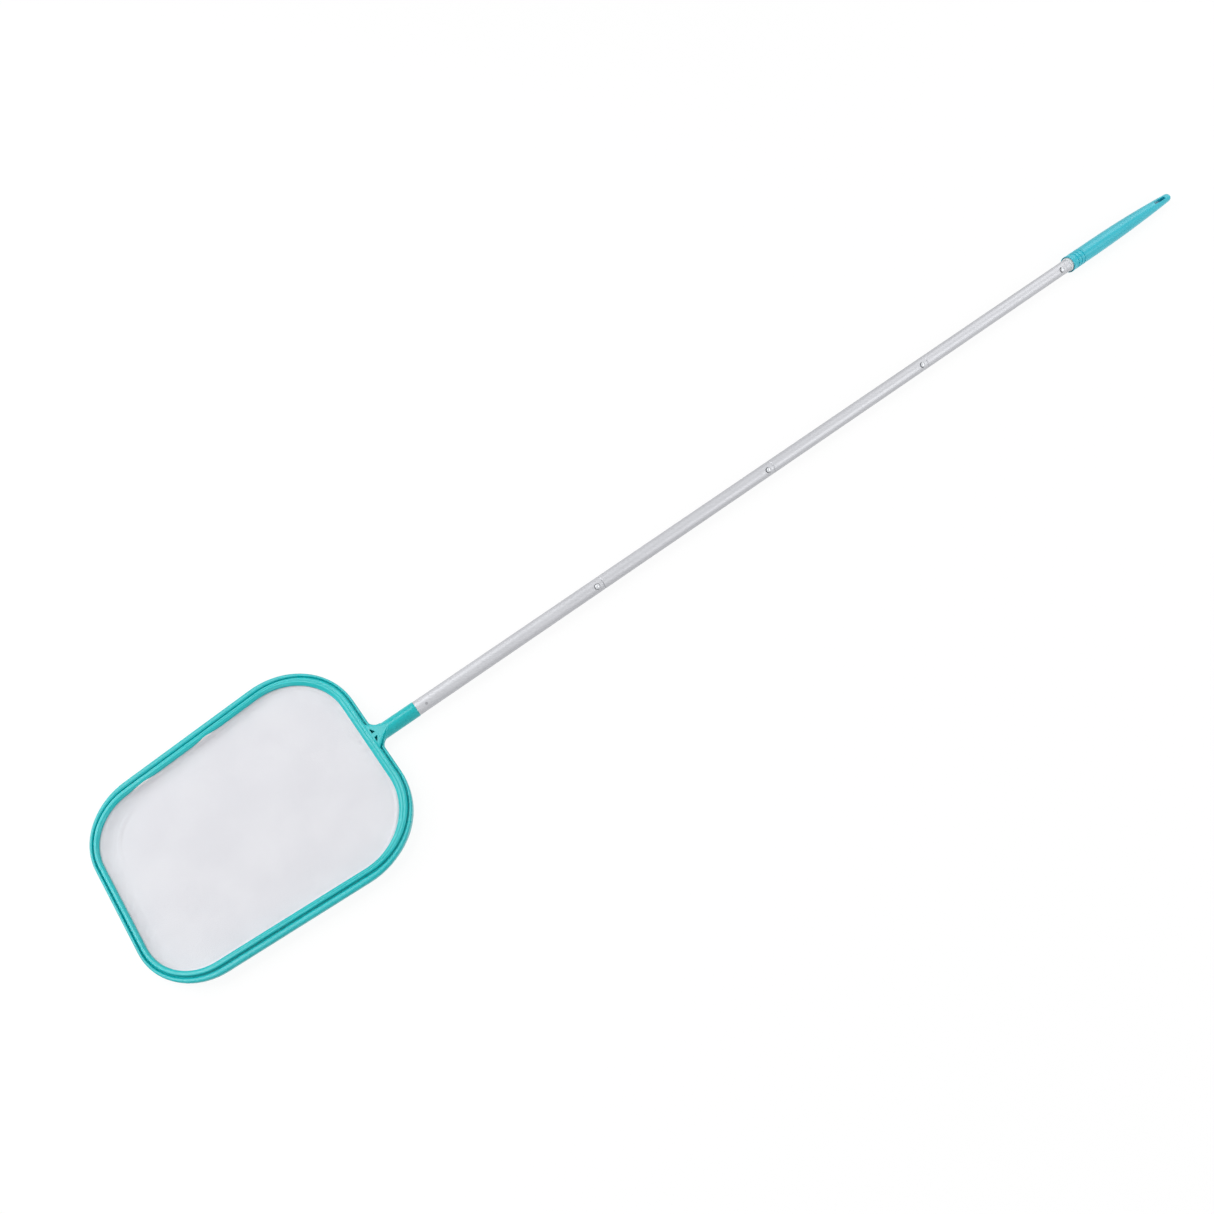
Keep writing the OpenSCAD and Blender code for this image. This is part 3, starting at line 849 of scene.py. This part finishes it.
def taper_radius(d):
    """Radius at a distance from the mouth: straight, then a long curve that ends at the tip's radius."""
    run = GRIP_LEN - TIP_ROUND - TAPER_START
    fall = GRIP_R - TIP_R
    return GRIP_R - fall * (max(d - TAPER_START, 0) / run) ** TAPER_POWER


def grip_profile():
    """The grip's section from the blind end of its bore, out round the mouth and along to the tip."""
    seat = [(SEAT_LEN, 0), (SEAT_LEN, SEAT_R), (BUSH_SEAT, SEAT_R), (BUSH_SEAT, BUSH_SEAT_R)]
    mouth = [
        (MOUTH_DEPTH, BUSH_SEAT_R), (MOUTH_DEPTH, MOUTH_R - MOUTH_CHAMFER),
        (MOUTH_DEPTH - MOUTH_CHAMFER, MOUTH_R), (MOUTH_LIP, MOUTH_R), (0, MOUTH_R + MOUTH_LIP),
    ]
    collar = [(d, COLLAR_R - drop) for d, drop in COLLAR_EDGE] + [(COLLAR_END, GRIP_R)]
    grooves = [
        (start + along * GRIP_GROOVE_W, GRIP_R - down * GRIP_GROOVE_D)
        for start in GROOVE_STARTS for along, down in GRIP_GROOVE
    ]
    rows = range(TAPER_ROWS_FROM, math.ceil(GRIP_LEN - TIP_ROUND), TAPER_ROW_STEP)
    taper = [(d, taper_radius(d)) for d in rows]
    tip = []
    for i in range(TIP_STEPS + 1):
        a = math.radians(90 * i / TIP_STEPS)
        r = TIP_R - TIP_ROUND + TIP_ROUND * math.cos(a)
        tip.append((GRIP_LEN - TIP_ROUND + TIP_ROUND * math.sin(a), max(r, 0)))
    return seat + mouth + collar + grooves + taper + tip + [(GRIP_LEN, 0)]


def flat_height(d):
    """Height above the pole's axis of the flat on the grip's top."""
    return taper_radius(FLAT_START) - (d - FLAT_START) * math.tan(FLAT_SLOPE)


def shape_tongue(v):
    """Drops the grip's end a little and presses its top into a flat with soft edges."""
    d, z = v.co.x - GRIP_X, v.co.z - AXIS_Z
    in_bore = d <= SEAT_LEN and v.co.y ** 2 + z ** 2 < (SEAT_R + TOUCH) ** 2
    if d < TAPER_START or in_bore:
        return
    z -= TIP_DROP * ((d - TAPER_START) / (GRIP_LEN - TAPER_START)) ** DROP_POWER
    top = flat_height(d)
    gap = (top - z) / FLAT_SOFT
    if gap < SOFT_REACH:
        z = top - FLAT_SOFT * (math.log1p(math.exp(gap)) if gap > -SOFT_REACH else math.exp(gap))
    v.co.z = AXIS_Z + z


def slot_loop(grow, z, tilt=0.0):
    """The hanging slot's outline with its width grown, at a height that falls towards the tip."""
    middle = GRIP_X + (SLOT_FROM + SLOT_TO) / 2
    half = (SLOT_TO - SLOT_FROM) / 2 - SLOT_HALF_W
    r = SLOT_HALF_W + grow
    line = arc_points(half, 0, r, -90, 90, SLOT_STEPS) + arc_points(-half, 0, r, 90, 270, SLOT_STEPS)
    return [Vector((middle + x, y, z - tilt * x)) for x, y in line]


def slot_cutter():
    """Cutter for the hanging slot, flared where it meets the top."""
    top = flat_height((SLOT_FROM + SLOT_TO) / 2) + AXIS_Z
    loops = [slot_loop(0, AXIS_Z - SLOT_SPARE)]
    loops += [slot_loop(grow, top + rise, math.tan(FLAT_SLOPE)) for grow, rise in SLOT_FLARE]
    loops.append(slot_loop(SLOT_FLARE[-1][0], AXIS_Z + SLOT_SPARE))
    bm = bmesh.new()
    edges = loft(bm, loops, closed=False)
    bmesh.ops.contextual_create(bm, geom=edges[0])
    bmesh.ops.contextual_create(bm, geom=edges[-1])
    return bm


def grip():
    bm = bmesh.new()
    lathe(bm, grip_profile(), GRIP_SIDES, GRIP_X)
    for v in bm.verts:
        shape_tongue(v)
    cut = combine(bm, [slot_cutter()], "DIFFERENCE")
    finish_piece("grip_moulding", cut, GRIP_TEAL, ["grip"], sharp=38)


BUSH_R = 9.5
BUSH_OUT = 2.6
BUSH_NOSE = ((0, 0.15), (0.15, 0.32))  # distance behind its end, height over its bore
BUSH_CROWN = ((-0.9, 0.22), (-0.35, 0.05), (0.2, 0))  # distance from the mouth, drop from its radius
BUSH_SOFT = 0.3
BUSH_CHAMFER = 0.25
BUSH_GAP = 0.05
SLEEVE_GAP = 0.1


def grip_bush():
    """Pale bush round the tube in the grip's mouth, with a rounded sloping nose."""
    flange, end, sleeve = MOUTH_DEPTH - BUSH_GAP, BUSH_SEAT - BUSH_GAP, BUSH_SEAT_R - SLEEVE_GAP
    front = (-BUSH_OUT, SEAT_R)
    outside = [(-BUSH_OUT + d, SEAT_R + up) for d, up in BUSH_NOSE]
    outside += [(d, BUSH_R - drop) for d, drop in BUSH_CROWN] + [(MOUTH_DEPTH - BUSH_SOFT, BUSH_R)]
    inside = [(flange, BUSH_R - BUSH_CHAMFER), (flange, sleeve), (BUSH_SEAT - BUSH_SOFT, sleeve)]
    inside += [(end, sleeve - BUSH_CHAMFER), (end, SEAT_R), front]
    bm = bmesh.new()
    lathe(bm, [front] + outside + inside, GRIP_SIDES, GRIP_X)
    finish_piece("bush_moulding", bm, WHITE, ["grip_bush"], sharp=50)


# ---------------------------------------------------------------- pole and small parts

CAD_FINISHES = (
    ("tube_", ALUMINIUM), ("snap_button_", STEEL), ("button_spring_", STRIP), ("locking_pin", PIN),
)


def dress_cad_nodes():
    for name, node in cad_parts.items():
        for prefix, material in CAD_FINISHES:
            if name.startswith(prefix):
                node.data.materials.clear()
                node.data.materials.append(material)


net_frame()
retaining_ring()
net_sheet()
grip()
grip_bush()
dress_cad_nodes()


# ---------------------------------------------------------------- camera, light and floor

IMAGE_SIDE = 1214
FOCAL_PIXELS = 1000
SENSOR = 36.0
CAMERA_PLACE = Vector((-0.48764, -0.45376, 1.04145))
CAMERA_AIM = Vector((-0.20394, -0.02460, 0.0))
CAMERA_ROLL = math.radians(-3.9645)
CLIP_END = 50


def place_camera():
    data = bpy.data.cameras.new("camera")
    data.sensor_width = SENSOR
    data.lens = SENSOR * FOCAL_PIXELS / IMAGE_SIDE
    data.clip_end = CLIP_END
    camera = in_scene("camera", data)
    camera.rotation_mode = "QUATERNION"
    camera.location = CAMERA_PLACE
    aim = (CAMERA_AIM - CAMERA_PLACE).to_track_quat("-Z", "Y")
    camera.rotation_quaternion = aim @ Quaternion((0, 0, 1), CAMERA_ROLL)
    bpy.context.scene.camera = camera


WHITE_RAYS = ("Is Camera Ray", "Is Glossy Ray", "Is Transmission Ray")


def seen_directly(start):
    """1 for camera, glossy and transmission rays, which see the white background itself."""
    camera, glossy, transmission = (start.node("ShaderNodeLightPath", output=ray) for ray in WHITE_RAYS)
    return camera.math("MAXIMUM", glossy).math("MAXIMUM", transmission)


FLOOR_HALF = 12
FLOOR_SHARE = 0.88
FLOOR_SHADE = (0.86, 0.86, 0.86, 1)
FLOOR_GLOW = 1.04
PURE_WHITE = (1, 1, 1, 1)


def lay_floor():
    """Pale floor that looks white and still takes the object's shadow."""
    bm = bmesh.new()
    bmesh.ops.create_grid(bm, x_segments=1, y_segments=1, size=FLOOR_HALF)
    mesh = as_mesh("floor", bm)
    floor = in_scene("floor", mesh)
    material = bpy.data.materials.new("floor")
    material.use_nodes = True
    tree = material.node_tree
    tree.nodes.clear()
    start = Wire(tree)
    matt = start.node("ShaderNodeBsdfDiffuse", None, {"Color": FLOOR_SHADE})
    glow = start.node("ShaderNodeEmission", None, {"Color": PURE_WHITE, "Strength": FLOOR_GLOW})
    share = seen_directly(start) * FLOOR_SHARE
    both = start.node("ShaderNodeMixShader", None, {0: share, 1: matt, 2: glow})
    start.node("ShaderNodeOutputMaterial", None, {"Surface": both})
    mesh.materials.append(material)


AMBIENT = 0.22


def light_world():
    """Even pale light, and a white background wherever it is seen directly or in a reflection."""
    world = bpy.data.worlds.new("world")
    bpy.context.scene.world = world
    world.use_nodes = True
    tree = world.node_tree
    tree.nodes.clear()
    start = Wire(tree)
    strength = seen_directly(start) * (1 - AMBIENT) + AMBIENT
    glow = start.node("ShaderNodeBackground", None, {"Color": PURE_WHITE, "Strength": strength})
    start.node("ShaderNodeOutputWorld", None, {"Surface": glow})


PANELS = (  # name, place, aim, width and height, brightness
    ("head_panel", (-1.0, 0.9, 1.9), (-0.65, 0, 0), (1.6, 1.2), 2.35),
    ("side_panel", (-1.9, 1.5, 1.1), (-0.65, 0, 0), (1.6, 1.0), 4.4),
    ("top_panel", (0.9, 1.0, 1.9), (0.2, 0, 0), (2.4, 1.4), 0.25),
    ("front_panel", (1.3, -1.5, 1.2), (0.4, 0, 0), (1.8, 1.0), 3.0),
    ("low_panel", (-1.5, -1.5, 1.3), (-0.7, 0, 0), (1.2, 1.0), 1.4),
    ("far_glint_panel", (-1.34, 0.66, 1.75), (-0.8, 0, 0), (0.24, 0.4), 8.0),
    ("neck_glint_panel", (-0.52, 0.77, 1.75), (-0.5, 0, 0), (0.34, 0.5), 2.2),
    ("end_panel", (1.75, 0.5, 1.1), (0.5, 0, 0), (1.0, 0.8), 2.4),
)


def soft_panel(name, place, aim, size, brightness):
    """A rectangular studio panel whose surface has the given brightness."""
    data = bpy.data.lights.new(name, "AREA")
    data.shape = "RECTANGLE"
    data.size, data.size_y = size
    data.energy = brightness * math.pi * size[0] * size[1]
    lamp = in_scene(name, data)
    lamp.location = place
    lamp.rotation_mode = "QUATERNION"
    lamp.rotation_quaternion = (Vector(aim) - Vector(place)).to_track_quat("-Z", "Y")


place_camera()
lay_floor()
light_world()
for panel in PANELS:
    soft_panel(*panel)
bpy.context.scene.view_settings.view_transform = "Standard"
